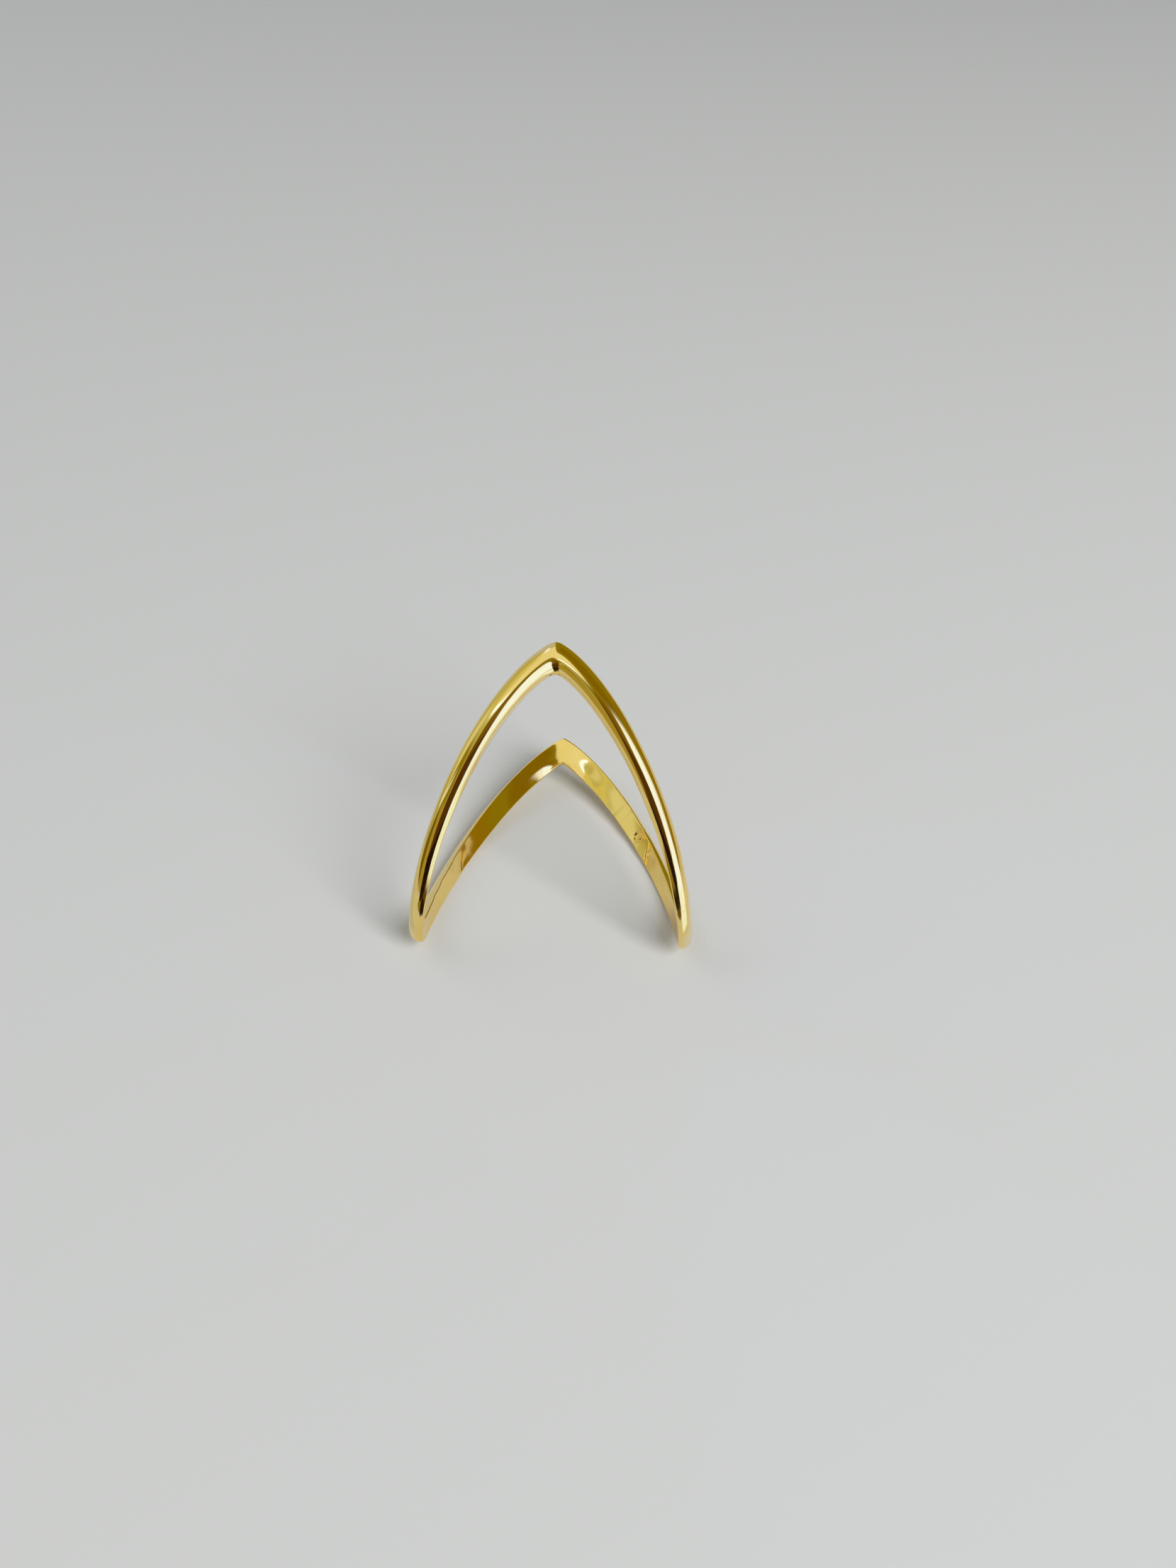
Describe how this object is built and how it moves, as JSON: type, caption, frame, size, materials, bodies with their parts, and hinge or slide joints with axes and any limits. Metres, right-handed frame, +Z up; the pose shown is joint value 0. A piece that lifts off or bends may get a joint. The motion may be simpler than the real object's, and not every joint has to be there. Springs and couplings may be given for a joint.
{
  "type": "finger ring",
  "caption": "Polished gold finger ring whose slim domed band rises to a pointed chevron peak at the front and at the back, with narrow rounded feet at the sides.",
  "frame": {"origin": "on the ground under the middle of the lying ring's bounding box", "axes": "+Z up, -Y towards the feet and the viewer of the picture, +X through the two feet; the finger axis leans back 59.5 degrees from +Z towards +Y"},
  "size_m": [0.0192, 0.0206, 0.0188],
  "materials": {
    "gold": "mirror polished yellow gold"
  },
  "bodies": {
    "root": {"band": "gold"}
  },
  "joints": []
}
